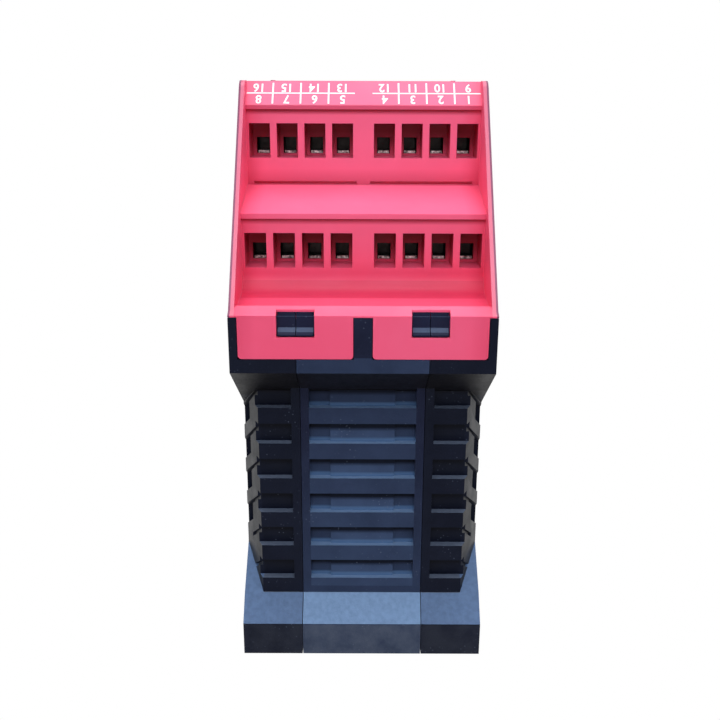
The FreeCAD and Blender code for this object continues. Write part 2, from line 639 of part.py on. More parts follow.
def make_latch():
    """The sliding rail latch, closed on the rail."""
    rail_edge = RAIL_HALF + RAIL_CLEAR + SEAT_GAP
    tip = RAIL_HALF - HOOK_REACH
    nose_top = HOOK_Z - LATCH_CLEAR
    nose = [(tip, LATCH_LOW_Z + LATCH_CHAMFER), (tip, nose_top), (rail_edge + 1, nose_top),
            (rail_edge + 1, LATCH_LOW_Z), (tip + LATCH_CHAMFER, LATCH_LOW_Z)]
    nose = to_far_end(near_prism(nose, -LATCH_STEM_HALF_W, LATCH_STEM_HALF_W))
    wide = box(-LATCH_HALF_W, LATCH_HALF_W, rail_edge, LATCH_END_Y, LATCH_STEP_Z, LATCH_TOP_Z)
    stem = box(-LATCH_STEM_HALF_W, LATCH_STEM_HALF_W, rail_edge, LATCH_END_Y, LATCH_LOW_Z,
               LATCH_STEP_Z)
    slot = box(-SPRING_SLOT_HALF, SPRING_SLOT_HALF, SPRING_Y[0], SPRING_SLOT_END, -1, RAIL_SEAT_Z)
    key = box(-KEY_HALF_W, KEY_HALF_W, LATCH_END_Y - 2 * KEY_WIDTH, LATCH_END_Y - KEY_WIDTH, -1,
              RAIL_SEAT_Z)
    return join([nose, wide, stem]).cut([slot, key])


def make_spring():
    """The compression spring of the latch, coiled from square wire."""
    helix = Part.makeHelix(SPRING_PITCH, SPRING_Y[1] - SPRING_Y[0] - SPRING_WIRE, SPRING_R)
    half = SPRING_WIRE / 2
    corners = [vec(SPRING_R + x, 0, z) for x, z in ((-half, -half), (half, -half), (half, half),
                                                   (-half, half), (-half, -half))]
    coil = Part.Wire(helix.Edges).makePipeShell([Part.makePolygon(corners)], True, True)
    coil.rotate(vec(0, 0, 0), vec(1, 0, 0), -90)
    coil.translate(vec(0, SPRING_Y[0] + half, (LATCH_LOW_Z + LATCH_TOP_Z) / 2))
    return coil


def make_all():
    """Every piece by name."""
    parts = {}
    parts["left_shell"], parts["centre_frame"], parts["right_shell"] = split_housing(make_housing())
    parts["near_hood"] = make_hood()
    rows = (("upper", WALL1_FOOT, POCKET_START_1), ("lower", WALL2_FOOT, POCKET_START_2))
    for name, foot, start in rows:
        body, clamps = make_terminals(foot, start)
        parts["near_" + name + "_block"] = body
        parts["near_" + name + "_clamps"] = clamps
    parts["near_carrier"] = make_carrier()
    for name in [n for n in parts if n.startswith("near_")]:
        parts[name.replace("near_", "far_")] = to_far_end(parts[name])
    plate, guide, board, leds = make_front()
    parts["front_plate"] = plate
    parts["light_guide"] = guide
    parts["front_board"] = board
    parts["leds"] = leds
    parts["left_board"] = make_side_board(-1)
    parts["right_board"] = make_side_board(1)
    parts["near_left_relay"] = make_relay(-1, -1)
    parts["near_right_relay"] = make_relay(1, -1)
    parts["far_left_relay"] = make_relay(-1, 1)
    parts["far_right_relay"] = make_relay(1, 1)
    parts["transformer"] = make_transformer()
    parts["capacitor"] = Part.makeCylinder(CAPACITOR_R, CAPACITOR_LENGTH,
                                           vec(BOARD_IN_X, CAPACITOR_S, CAPACITOR_Z), vec(-1, 0, 0))
    parts["rail_latch"] = make_latch()
    parts["latch_spring"] = make_spring()
    return parts


for node, shape in make_all().items():
    box_mm = shape.BoundBox
    print(node, len(shape.Solids), shape.isValid(), round(shape.Volume, 1),
          [round(v, 2) for v in (box_mm.XMin, box_mm.XMax, box_mm.YMin, box_mm.YMax,
                                 box_mm.ZMin, box_mm.ZMax)])
    shape.exportStep("parts/" + node + ".step")
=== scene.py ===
"""Safety relay in a finned dark housing with red terminal hoods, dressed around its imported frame."""

import json
import logging
import math
from dataclasses import dataclass, field
from enum import Enum
from typing import Sequence

import bmesh
import bpy
from mathutils import Matrix, Vector

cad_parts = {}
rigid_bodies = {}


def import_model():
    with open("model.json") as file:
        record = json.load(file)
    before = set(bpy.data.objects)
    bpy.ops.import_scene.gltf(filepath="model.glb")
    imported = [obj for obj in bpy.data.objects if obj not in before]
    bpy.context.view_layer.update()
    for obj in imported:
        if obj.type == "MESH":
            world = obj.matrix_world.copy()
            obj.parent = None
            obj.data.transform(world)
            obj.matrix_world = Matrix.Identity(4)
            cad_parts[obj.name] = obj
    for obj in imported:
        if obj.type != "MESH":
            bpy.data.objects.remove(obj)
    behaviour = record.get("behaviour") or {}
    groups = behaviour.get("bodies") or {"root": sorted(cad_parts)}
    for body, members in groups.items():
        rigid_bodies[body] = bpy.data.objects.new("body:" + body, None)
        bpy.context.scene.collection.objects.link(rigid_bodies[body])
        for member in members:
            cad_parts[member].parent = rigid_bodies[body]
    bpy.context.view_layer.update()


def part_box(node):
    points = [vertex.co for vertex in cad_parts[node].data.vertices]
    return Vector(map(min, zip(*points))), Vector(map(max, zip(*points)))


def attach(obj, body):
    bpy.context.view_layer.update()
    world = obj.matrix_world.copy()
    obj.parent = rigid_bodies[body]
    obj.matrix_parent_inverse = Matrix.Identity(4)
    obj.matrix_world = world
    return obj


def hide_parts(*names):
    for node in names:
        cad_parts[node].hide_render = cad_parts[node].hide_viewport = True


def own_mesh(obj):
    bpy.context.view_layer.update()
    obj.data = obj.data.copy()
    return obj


LOG = logging.getLogger("safety_relay")

Colour = tuple[float, float, float]
Point = tuple[float, float, float]
Band = tuple[float, float]
Zone = tuple[Band, Band, float, float]
Tone = bpy.types.NodeSocket

MM = 0.001
HOUSING_BODY = "housing"
LATCH_BODY = "latch"
WHITE = (1.0, 1.0, 1.0)

# The part of a noise's values that is stretched over a whole range.
MIDDLE = (0.3, 0.7)
NOISE_ROUGHNESS = 0.55
FINE_BUMP = 0.01 * MM

# Points nearer than the gap are merged, and faces flatter than the flat angle are joined.
MERGE_GAP = 0.002 * MM
FLAT_ANGLE = math.radians(0.6)
BEVEL_ANGLE = math.radians(30.0)
BEVEL_SEGMENTS = 2
SMOOTH_ANGLE = math.radians(50.0)


class End(Enum):
    """The two ends of the relay, with the sign of Y on each."""

    NEAR = -1.0
    FAR = 1.0

    @property
    def prefix(self) -> str:
        """The start of the names of this end's pieces."""
        return self.name.lower()


class Value:
    """A shader socket that takes part in sums and products."""

    def __init__(self, graph: "Graph", socket: bpy.types.NodeSocket) -> None:
        """Wrap a socket.

        Args:
            graph: The node graph that the socket belongs to.
            socket: The output socket.
        """
        self.graph = graph
        self.socket = socket

    def _math(self, operation: str, first: object, second: object) -> "Value":
        """Add one Math node and return its result."""
        node = self.graph.node("ShaderNodeMath", {"operation": operation}, {0: first, 1: second})
        return Value(self.graph, node.outputs[0])

    def __add__(self, other: object) -> "Value":
        """Sum."""
        return self._math("ADD", self, other)

    def __radd__(self, other: object) -> "Value":
        """Sum with a number on the left."""
        return self._math("ADD", other, self)

    def __sub__(self, other: object) -> "Value":
        """Difference."""
        return self._math("SUBTRACT", self, other)

    def __rsub__(self, other: object) -> "Value":
        """Difference from a number on the left."""
        return self._math("SUBTRACT", other, self)

    def __mul__(self, other: object) -> "Value":
        """Product."""
        return self._math("MULTIPLY", self, other)

    def __rmul__(self, other: object) -> "Value":
        """Product with a number on the left."""
        return self._math("MULTIPLY", other, self)

    def above(self, limit: float) -> "Value":
        """One where the value is over the limit, and zero elsewhere."""
        return self._math("GREATER_THAN", self, limit)

    def below(self, limit: float) -> "Value":
        """One where the value is under the limit, and zero elsewhere."""
        return self._math("LESS_THAN", self, limit)

    def fraction(self) -> "Value":
        """What is left of the value above the next whole number below it."""
        return self._math("FRACT", self, 0.0)

    def size(self) -> "Value":
        """The value without its sign."""
        return self._math("ABSOLUTE", self, 0.0)


class Graph:
    """The node graph of one material."""

    def __init__(self, name: str) -> None:
        """Start an empty material.

        Args:
            name: The material's name.
        """
        self.material = bpy.data.materials.new(name)
        self.material.use_nodes = True
        self.tree = self.material.node_tree
        self.tree.nodes.clear()
        self.surface = self.node("ShaderNodeBsdfPrincipled", {}, {})
        output = self.node("ShaderNodeOutputMaterial", {}, {})
        self.tree.links.new(self.surface.outputs["BSDF"], output.inputs["Surface"])
        self.place = self.node("ShaderNodeTexCoord", {}, {}).outputs["Object"]

    def node(self, kind: str, settings: dict[str, object],
             inputs: dict[object, object]) -> bpy.types.Node:
        """Add a node.

        Args:
            kind: The node's type.
            settings: Attributes that are set before its sockets.
            inputs: Values or links by socket name or index.

        Returns:
            The new node.
        """
        made = self.tree.nodes.new(kind)
        for key, value in settings.items():
            setattr(made, key, value)
        for key, value in inputs.items():
            self.feed(made.inputs[key], value)
        return made

    def feed(self, socket: bpy.types.NodeSocket, value: object) -> None:
        """Link a socket to a value, or set it.

        Args:
            socket: The input socket.
            value: A Value, an output socket, a number, a vector or a colour without its alpha.
        """
        if isinstance(value, Value):
            value = value.socket
        if isinstance(value, bpy.types.NodeSocket):
            self.tree.links.new(value, socket)
        elif socket.type == "RGBA":
            socket.default_value = (*value, 1.0)
        else:
            socket.default_value = value

    def noise(self, size: float, detail: float = 3.0) -> Value:
        """Noise with features of a given size in metres."""
        made = self.node("ShaderNodeTexNoise", {}, {
            "Vector": self.place, "Scale": 1.0 / size, "Detail": detail, "Roughness": NOISE_ROUGHNESS})
        return Value(self, made.outputs["Fac"])

    def cells(self, size: float) -> Value:
        """Distance to the middle of random cells of a given size in metres."""
        made = self.node("ShaderNodeTexVoronoi", {}, {"Vector": self.place, "Scale": 1.0 / size})
        return Value(self, made.outputs["Distance"])

    def axis(self, index: int) -> Value:
        """One coordinate of the place on the object, in metres."""
        made = self.node("ShaderNodeSeparateXYZ", {}, {0: self.place})
        return Value(self, made.outputs[index])

    def zone(self, away: Band, height: Band) -> Value:
        """One inside a band of distances from the middle along Y and a band of heights."""
        y = self.axis(1).size()
        z = self.axis(2)
        return y.above(away[0]) * y.below(away[1]) * z.above(height[0]) * z.below(height[1])

    def facing(self, index: int) -> Value:
        """One coordinate of the direction that the surface looks in."""
        way = self.node("ShaderNodeNewGeometry", {}, {}).outputs["Normal"]
        made = self.node("ShaderNodeSeparateXYZ", {}, {0: way})
        return Value(self, made.outputs[index])

    def blend(self, share: object, first: object, second: object) -> Tone:
        """Mix two colours."""
        made = self.node("ShaderNodeMix", {"data_type": "RGBA", "clamp_factor": True},
                         {0: share, 6: first, 7: second})
        return made.outputs[2]

    def remap(self, value: Value, band: Band, out: Band = (0.0, 1.0)) -> Value:
        """Stretch a band of a value to another band, clamped."""
        made = self.node("ShaderNodeMapRange", {"clamp": True}, {
            "Value": value, "From Min": band[0], "From Max": band[1], "To Min": out[0], "To Max": out[1]})
        return Value(self, made.outputs[0])

    def bump(self, height: Value, depth: float) -> None:
        """Raise the surface by a height map.

        Args:
            height: The map, from 0 to 1.
            depth: What a height of 1 stands for, in metres.
        """
        made = self.node("ShaderNodeBump", {}, {"Strength": 1.0, "Distance": depth, "Height": height})
        self.feed(self.surface.inputs["Normal"], made.outputs[0])

    def set(self, **values: object) -> None:
        """Set sockets of the surface, with underscores for spaces in their names."""
        for key, value in values.items():
            self.feed(self.surface.inputs[key.replace("_", " ")], value)


@dataclass(frozen=True)
class MouldedPlastic:
    """Injection-moulded plastic with a fine grain, faint flow mottling and dust speckle."""

    name: str
    colour: Colour
    pale: Colour
    roughness: float = 0.5
    rough_swing: float = 0.06
    rough_scale: float = 3.0
    mottle: float = 0.25
    mottle_size: float = 12.0 * MM
    mottle_band: Band = (0.35, 0.7)
    grain_size: float = 0.35 * MM
    grain_detail: float = 2.0
    grain_depth: float = 0.02 * MM
    speckle: float = 0.0
    speckle_size: float = 0.8 * MM
    speckle_band: Band = (0.05, 0.22)
    patch_scale: float = 9.0
    patch_band: Band = (0.45, 0.62)
    specular: float = 0.5
    coat: float = 0.0
    coat_roughness: float = 0.25

    def base(self, graph: Graph) -> Tone:
        """The base colour: flow mottling with dust speckle over it."""
        flow = graph.remap(graph.noise(self.mottle_size), self.mottle_band, (0.0, self.mottle))
        dust = graph.remap(graph.cells(self.speckle_size), self.speckle_band, (self.speckle, 0.0))
        patch = graph.remap(graph.noise(self.speckle_size * self.patch_scale), self.patch_band)
        return graph.blend(dust * patch, graph.blend(flow, self.colour, self.pale), self.pale)

    def build(self) -> bpy.types.Material:
        """Make the material."""
        graph = Graph(self.name)
        swing = (self.roughness - self.rough_swing, self.roughness + self.rough_swing)
        graph.set(
            Base_Color=self.base(graph),
            Roughness=graph.remap(graph.noise(self.mottle_size / self.rough_scale), MIDDLE, swing),
            Specular_IOR_Level=self.specular,
            Coat_Weight=self.coat,
            Coat_Roughness=self.coat_roughness)
        graph.bump(graph.noise(self.grain_size, self.grain_detail), self.grain_depth)
        return graph.material


@dataclass(frozen=True, kw_only=True)
class HousingPlastic(MouldedPlastic):
    """Dark plastic with painted shade and a painted highlight in the windows between its fins, dust and
    painted reflection on its ledges and sills, paler feet in patches, pale specks, a painted sheen on its
    flanks, a painted highlight on its latch tab slopes and painted shade under the ramp.

    Heights are from the foot. Distances along Y (away) and X are from the middle of the relay.
    """

    recess: Colour
    # Dust and painted reflection on what looks up: the film tone on the ledge, the sill tone on the sills
    # of the neck.
    film: Colour
    sill: Colour
    # Paler feet, broken by noise patches.
    foot: Colour
    foot_share: float
    neck_away: float = 49.15 * MM
    neck_x: float = 18.8 * MM
    side_x: float = 22.3 * MM
    cloud_size: float = 6.0 * MM
    cloud_low: float = 0.7
    window_away: Band = (47.0 * MM, 48.9 * MM)
    window_height: Band = (12.5 * MM, 53.0 * MM)
    window_share: float = 0.8
    sill_top: float = 48.8 * MM
    fin_pitch: float = 6.92 * MM
    fade_band: Band = (0.1, 0.45)
    fade_low: float = 0.65
    top_window: Band = (44.0 * MM, 49.5 * MM)
    top_share: float = 0.5
    pad_x: float = 5.9 * MM
    end_share: float = 0.42
    # The glow is a painted highlight at the foot of each window, and the shadow a painted shadow under
    # the next fin.
    glow: Colour = (0.085, 0.155, 0.29)
    glow_band: Band = (0.06, 0.13)
    glow_share: float = 0.0
    shadow: Colour = (0.002, 0.003, 0.008)
    shadow_band: Band = (0.3, 0.4)
    shadow_share: float = 0.9
    fin_away: Band = (48.9 * MM, 49.3 * MM)
    fin_x: float = 9.7 * MM
    fin_share: float = 0.0
    low_height: Band = (12.0 * MM, 45.0 * MM)
    low_share: float = 0.0
    tab: Colour = (0.014, 0.016, 0.042)
    # The tab slope tone is a painted highlight on the upward slope of the latch tabs.
    tab_slope: Colour = (0.07, 0.095, 0.16)
    tab_away: Band = (54.0 * MM, 56.95 * MM)
    tab_height: Band = (62.0 * MM, 68.6 * MM)
    tab_line: float = 64.95 * MM
    tab_x: float = 6.0 * MM
    tab_share: float = 0.8
    slope_band: Band = (0.3, 0.6)
    face_away: Band = (56.6 * MM, 57.1 * MM)
    face_height: Band = (57.4 * MM, 60.6 * MM)
    face_share: float = 0.0
    # Painted shade on the faces under the ramp that look down.
    under: Colour = (0.007, 0.006, 0.0065)
    under_height: float = 50.0 * MM
    under_tilt: float = -0.2
    under_share: float = 0.8
    # Painted sheen on the flanks of the neck.
    flank: Colour = (0.042, 0.042, 0.04)
    flank_away: Band = (40.0 * MM, 49.3 * MM)
    flank_band: Band = (0.5, 0.85)
    flank_share: float = 0.5
    foot_top: float = 6.4 * MM
    scuff_size: float = 4.0 * MM
    scuff_detail: float = 5.0
    scuff_band: Band = (0.35, 0.62)
    scuff_low: float = 0.3
    film_share: float = 0.75
    film_band: Band = (0.3, 0.62)
    film_top: float = 60.0 * MM
    ledge_top: float = 18.0 * MM
    streak_size: float = 0.9 * MM
    streak_detail: float = 4.0
    streak_band: Band = (0.3, 0.65)
    streak_low: float = 0.8
    speck: Colour = (0.16, 0.19, 0.26)
    speck_band: Band = (0.1, 0.2)
    speck_patch: float = 5.0 * MM
    speck_patch_band: Band = (0.5, 0.65)

    def base(self, graph: Graph) -> Tone:
        """The mottled colour, with the tones of each place laid over it in turn."""
        tone = super().base(graph)
        for lay in (self.windows, self.neck, self.terminal_end, self.wear, self.dust):
            tone = lay(graph, tone)
        return tone

    def cloud(self, graph: Graph) -> Value:
        """Slow clouding of the duller tones."""
        return graph.remap(graph.noise(self.cloud_size), MIDDLE, (self.cloud_low, 1.0))

    def between_fins(self, graph: Graph) -> Value:
        """One in the windows between the fins."""
        across = graph.axis(0).size()
        return graph.zone(self.window_away, self.window_height) * across.below(self.neck_x)

    def windows(self, graph: Graph, tone: Tone) -> Tone:
        """Lay the windows in the recess tone, with painted shade towards the top of each, in the top
        window and at the window ends, a painted highlight at the foot of each and a painted shadow under
        the next fin.
        """
        height = graph.axis(2)
        rise = ((height - self.sill_top) * (1.0 / self.fin_pitch)).fraction()
        # Painted shade: less of the recess tone towards the top of each window, in the top window under
        # the ramp and at the window ends.
        fade = (graph.remap(rise, self.fade_band, (1.0, self.fade_low))
                * graph.remap(height, self.top_window, (1.0, self.top_share)))
        ends = 1.0 - graph.axis(0).size().above(self.pad_x) * self.end_share
        window = self.between_fins(graph)
        dim = window * self.cloud(graph) * fade * ends * self.window_share
        tone = graph.blend(dim, tone, self.recess)
        # Painted highlight at the foot of each window.
        glow = graph.remap(rise, self.glow_band, (self.glow_share, 0.0))
        tone = graph.blend(window * glow, tone, self.glow)
        shadow = graph.remap(rise, self.shadow_band, (0.0, self.shadow_share))
        return graph.blend(window * shadow, tone, self.shadow)

    def neck(self, graph: Graph, tone: Tone) -> Tone:
        """Lay the fins, and the low part of the neck outside the windows."""
        cloud = self.cloud(graph)
        fins = graph.zone(self.fin_away, self.window_height) * graph.axis(0).size().below(self.fin_x)
        tone = graph.blend(fins * cloud * self.fin_share, tone, self.recess)
        low = graph.remap(graph.axis(2), self.low_height, (self.low_share, 0.0))
        return graph.blend(low * cloud * (1.0 - self.between_fins(graph)), tone, self.recess)

    def terminal_end(self, graph: Graph, tone: Tone) -> Tone:
        """Lay the latch tabs with a painted highlight on their upward slope, the end face under the hood,
        and painted shade on the underside of the ramp.
        """
        height = graph.axis(2)
        up = graph.facing(2)
        tab = graph.zone(self.tab_away, self.tab_height) * graph.axis(0).size().above(self.tab_x)
        # Painted highlight where the latch tab slope looks up.
        lit_slope = graph.remap(up, self.slope_band) * height.above(self.tab_line)
        tone = graph.blend(tab * self.tab_share, tone, graph.blend(lit_slope, self.tab, self.tab_slope))
        face = graph.zone(self.face_away, self.face_height)
        tone = graph.blend(face * self.cloud(graph) * self.face_share, tone, self.recess)
        # Painted shade on faces under the ramp that look down.
        under = height.above(self.under_height) * height.below(self.film_top) * up.below(self.under_tilt)
        return graph.blend(under * self.under_share, tone, self.under)

    def wear(self, graph: Graph, tone: Tone) -> Tone:
        """Lay a painted sheen on the flanks of the neck where they look sideways, and paler feet in noise
        patches.
        """
        across = graph.axis(0).size()
        # Painted sheen where the flanks look sideways.
        flank = graph.zone(self.flank_away, self.window_height) * across.above(self.neck_x)
        side = graph.remap(graph.facing(0).size(), self.flank_band, (0.0, self.flank_share))
        tone = graph.blend(flank * side * across.below(self.side_x), tone, self.flank)
        # Paler feet below the foot top, broken by noise patches.
        patch_noise = graph.noise(self.scuff_size, self.scuff_detail)
        foot_patch = graph.remap(patch_noise, self.scuff_band, (self.scuff_low, 1.0))
        return graph.blend(graph.axis(2).below(self.foot_top) * foot_patch * self.foot_share, tone, self.foot)

    def dust(self, graph: Graph, tone: Tone) -> Tone:
        """Lay a film of dust and painted reflection on what looks up, duller on the sills of the neck,
        and the pale specks.
        """
        height = graph.axis(2)
        # Dust and painted reflection on faces that look up.
        up = graph.remap(graph.facing(2), self.film_band, (0.0, self.film_share))
        streaks = graph.noise(self.streak_size, self.streak_detail)
        streak = graph.remap(streaks, self.streak_band, (self.streak_low, 1.0))
        neck = graph.axis(1).size().below(self.neck_away) * graph.axis(0).size().below(self.neck_x)
        ledge = height.below(self.ledge_top) * (1.0 - neck)
        film = graph.blend(ledge, self.sill, self.film)
        tone = graph.blend(up * height.below(self.film_top) * streak, tone, film)
        specks = graph.remap(graph.cells(self.speckle_size), self.speck_band, (self.speckle, 0.0))
        patch = graph.remap(graph.noise(self.speck_patch), self.speck_patch_band)
        return graph.blend(specks * patch, tone, self.speck)


@dataclass(frozen=True)
class HoodPlastic(MouldedPlastic):
    """Red plastic with painted shade in its pockets, trough and inner corners, a painted highlight on its
    rim and painted shade on its outer edge.

    A zone is a band of distances along Y, a band of heights, and the tone's share at the foot
    and at the top of that band.
    """

    # Painted shade in the pockets, under the roof edges, at the foot of the first wall and in the trough.
    deep: Colour = (0.36, 0.012, 0.038)
    deep_zones: tuple[Zone, ...] = (
        ((20.0 * MM, 31.1 * MM), (91.3 * MM, 97.7 * MM), 0.0, 1.4),
        ((33.0 * MM, 42.9 * MM), (73.1 * MM, 79.5 * MM), 0.0, 1.4),
        ((31.0 * MM, 32.3 * MM), (86.5 * MM, 89.5 * MM), 0.5, 0.0),
        ((31.2 * MM, 31.7 * MM), (99.1 * MM, 100.2 * MM), 0.0, 1.3),
        ((43.0 * MM, 43.5 * MM), (80.9 * MM, 82.1 * MM), 0.0, 1.1),
        ((31.9 * MM, 32.2 * MM), (99.9 * MM, 100.9 * MM), 0.4, 0.4),
        ((43.3 * MM, 54.7 * MM), (67.0 * MM, 71.0 * MM), 0.3, 0.3))
    # Painted shade in a deeper red, in the trough and the inner corners.
    rich: Colour = (0.62, 0.03, 0.085)
    rich_zones: tuple[Zone, ...] = (
        ((42.9 * MM, 48.0 * MM), (67.0 * MM, 74.5 * MM), 1.1, 0.0),
        ((48.0 * MM, 54.7 * MM), (67.0 * MM, 71.0 * MM), 0.15, 0.15))
    pale_height: Band = (70.0 * MM, 90.0 * MM)
    pale_share: float = 0.45
    corner_x: float = 18.0 * MM
    corner_share: float = 0.45
    # Painted highlight on the upward faces of the rim.
    rim: Colour = (0.52, 0.135, 0.2)
    rim_share: float = 0.75
    rim_x: float = 21.45 * MM
    rim_side: float = 0.6
    rim_up: float = 0.2
    shade: Colour = (0.2, 0.045, 0.1)
    shade_x: float = 22.15 * MM
    shade_side: float = 0.97

    def base(self, graph: Graph) -> Tone:
        """The mottled colour, paler towards the top, with painted shade in the pockets, the trough, the
        inner corners and on the outer edge, and a painted highlight on the rim.
        """
        height = graph.axis(2)
        rise = graph.remap(height, self.pale_height, (0.0, self.pale_share))
        tone = graph.blend(rise, super().base(graph), self.pale)
        across = graph.axis(0).size()
        inside = across.below(self.rim_x)
        # Painted shade in the pockets, under the roof edges and in the trough.
        for colour, zones in ((self.rich, self.rich_zones), (self.deep, self.deep_zones)):
            for away, band, at_foot, at_top in zones:
                share = graph.remap(height, band, (at_foot, at_top))
                tone = graph.blend(graph.zone(away, band) * inside * share, tone, colour)
        # Painted shade in the inner corners by the side walls.
        corner_shade = graph.remap(across, (self.corner_x, self.rim_x), (0.0, self.corner_share))
        tone = graph.blend(corner_shade * inside, tone, self.rich)
        # Painted highlight on the rim where it looks up.
        side = graph.facing(0).size()
        rim = across.above(self.rim_x) * side.below(self.rim_side) * graph.facing(2).above(self.rim_up)
        tone = graph.blend(rim * self.rim_share, tone, self.rim)
        return graph.blend(across.above(self.shade_x) * side.below(self.shade_side), tone, self.shade)


@dataclass(frozen=True)
class BrightMetal:
    """Rolled strip or drawn wire with fine lines and slight tarnish."""

    name: str
    colour: Colour
    dull: Colour
    roughness: float = 0.28
    rough_swing: Band = (-0.08, 0.12)
    line_axis: int = 0
    scale_across: float = 4000.0
    scale_along: float = 220.0
    stain_size: float = 4.0 * MM
    stain_band: Band = (0.45, 0.75)
    stain_share: float = 0.7

    def build(self) -> bpy.types.Material:
        """Make the material."""
        graph = Graph(self.name)
        stretch = [self.scale_across] * 3
        stretch[self.line_axis] = self.scale_along
        turned = graph.node("ShaderNodeMapping", {}, {"Vector": graph.place, "Scale": stretch})
        lines = graph.node("ShaderNodeTexNoise", {}, {"Vector": turned.outputs[0], "Scale": 1.0})
        drawn = Value(graph, lines.outputs["Fac"])
        stain = graph.remap(graph.noise(self.stain_size), self.stain_band, (0.0, self.stain_share))
        smooth, rough = (self.roughness + swing for swing in self.rough_swing)
        graph.set(
            Base_Color=graph.blend(stain, self.colour, self.dull),
            Metallic=1.0,
            Roughness=graph.remap(drawn, MIDDLE, (smooth, rough)))
        graph.bump(drawn, FINE_BUMP)
        return graph.material


@dataclass(frozen=True)
class ClampMetal:
    """Tinned strip, bright at its front edges, with painted shade darkening it inside the wire holes."""

    name: str
    colour: Colour
    # Painted shade inside the wire holes.
    dark: Colour
    upper_front: float = 24.1 * MM
    lower_front: float = 35.9 * MM
    edge: float = 0.5 * MM
    worn_size: float = 0.6 * MM
    worn_band: Band = (0.38, 0.62)
    worn_low: float = 0.15
    metallic: float = 0.6
    rough_worn: Band = (0.25, 1.0)
    roughness: Band = (0.5, 0.3)

    def build(self) -> bpy.types.Material:
        """Make the material."""
        graph = Graph(self.name)
        away = graph.axis(1).size()
        upper, lower = (away.above(front - self.edge) * away.below(front + self.edge)
                        for front in (self.upper_front, self.lower_front))
        patch_noise = graph.remap(graph.noise(self.worn_size), self.worn_band, (self.worn_low, 1.0))
        # The tin's colour shows only at the front edges; elsewhere painted shade inside the wire holes.
        graph.set(
            Base_Color=graph.blend((upper + lower) * patch_noise, self.dark, self.colour),
            Metallic=self.metallic,
            Roughness=graph.remap(patch_noise, self.rough_worn, self.roughness))
        graph.bump(patch_noise, FINE_BUMP)
        return graph.material


@dataclass(frozen=True)
class BoardLacquer:
    """Green solder mask over copper tracks on glass laminate."""

    name: str
    mask: Colour
    track: Colour
    track_size: float = 4.2 * MM
    track_band: Band = (0.22, 0.28)
    track_rise: float = 0.7
    weave_size: float = 0.6 * MM
    weave_detail: float = 2.0
    weave_rise: float = 0.1
    bump_depth: float = 0.03 * MM
    roughness: Band = (0.22, 0.34)
    specular: float = 0.6

    def build(self) -> bpy.types.Material:
        """Make the material."""
        graph = Graph(self.name)
        tracks = graph.remap(graph.cells(self.track_size), self.track_band, (1.0, 0.0))
        weave = graph.noise(self.weave_size, self.weave_detail)
        graph.set(
            Base_Color=graph.blend(tracks, self.mask, self.track),
            Specular_IOR_Level=self.specular,
            Roughness=graph.remap(weave, MIDDLE, self.roughness))
        graph.bump(tracks * self.track_rise + weave * self.weave_rise, self.bump_depth)
        return graph.material


@dataclass(frozen=True)
class ClearPlastic:
    """Water-clear plastic of the light guide, faintly frosted."""

    name: str
    colour: Colour
    ior: float = 1.49
    transmission: float = 0.75
    frost_size: float = 0.5 * MM
    roughness: Band = (0.12, 0.3)

    def build(self) -> bpy.types.Material:
        """Make the material."""
        graph = Graph(self.name)
        frost = graph.noise(self.frost_size)
        graph.set(
            Base_Color=self.colour,
            IOR=self.ior,
            Transmission_Weight=self.transmission,
            Roughness=graph.remap(frost, MIDDLE, self.roughness))
        graph.bump(frost, FINE_BUMP)
        return graph.material


@dataclass(frozen=True)
class PrintInk:
    """Pad-printed ink: matte, slightly uneven in cover."""

    name: str
    colour: Colour
    thin: Colour
    roughness: float = 0.6
    specular: float = 0.3
    cover_size: float = 0.4 * MM
    cover_band: Band = (0.5, 0.8)
    cover_share: float = 0.5
    grain_size: float = 0.25 * MM

    def build(self) -> bpy.types.Material:
        """Make the material."""
        graph = Graph(self.name)
        cover = graph.remap(graph.noise(self.cover_size), self.cover_band, (0.0, self.cover_share))
        graph.set(
            Base_Color=graph.blend(cover, self.colour, self.thin),
            Roughness=self.roughness,
            Specular_IOR_Level=self.specular)
        graph.bump(graph.noise(self.grain_size), FINE_BUMP)
        return graph.material


def linked(name: str, data: bpy.types.ID) -> bpy.types.Object:
    """A new object in the scene."""
    made = bpy.data.objects.new(name, data)
    bpy.context.scene.collection.objects.link(made)
    return made


def plain_mesh(source: bpy.types.Object, name: str) -> bpy.types.Object:
    """Turn an object with modifiers into a plain mesh object at the origin.

    Args:
        source: The object, which is removed.
        name: The new object's name.

    Returns:
        The new object.
    """
    graph = bpy.context.evaluated_depsgraph_get()
    graph.update()
    mesh = bpy.data.meshes.new_from_object(source.evaluated_get(graph))
    mesh.transform(source.matrix_world)
    bpy.data.objects.remove(source)
    return linked(name, mesh)


def mesh_object(name: str, work: bmesh.types.BMesh) -> bpy.types.Object:
    """A linked object from a bmesh, which is freed."""
    mesh = bpy.data.meshes.new(name)
    work.to_mesh(mesh)
    work.free()
    return linked(name, mesh)


def dress(piece: bpy.types.Object, material: bpy.types.Material) -> None:
    """Give a piece one material on every slot."""
    if not piece.data.materials:
        piece.data.materials.append(material)
    for index in range(len(piece.data.materials)):
        piece.data.materials[index] = material


def modify(piece: bpy.types.Object, kind: str, **settings: object) -> None:
    """Add a modifier with its settings."""
    added = piece.modifiers.new(kind.lower(), kind)
    for key, value in settings.items():
        setattr(added, key, value)


def shade_by_angle(piece: bpy.types.Object) -> None:
    """Smooth shading, with sharp edges over the smooth angle."""
    work = bmesh.new()
    work.from_mesh(piece.data)
    for face in work.faces:
        face.smooth = True
    for edge in work.edges:
        edge.smooth = len(edge.link_faces) == 2 and edge.calc_face_angle(0.0) < SMOOTH_ANGLE
    work.to_mesh(piece.data)
    work.free()


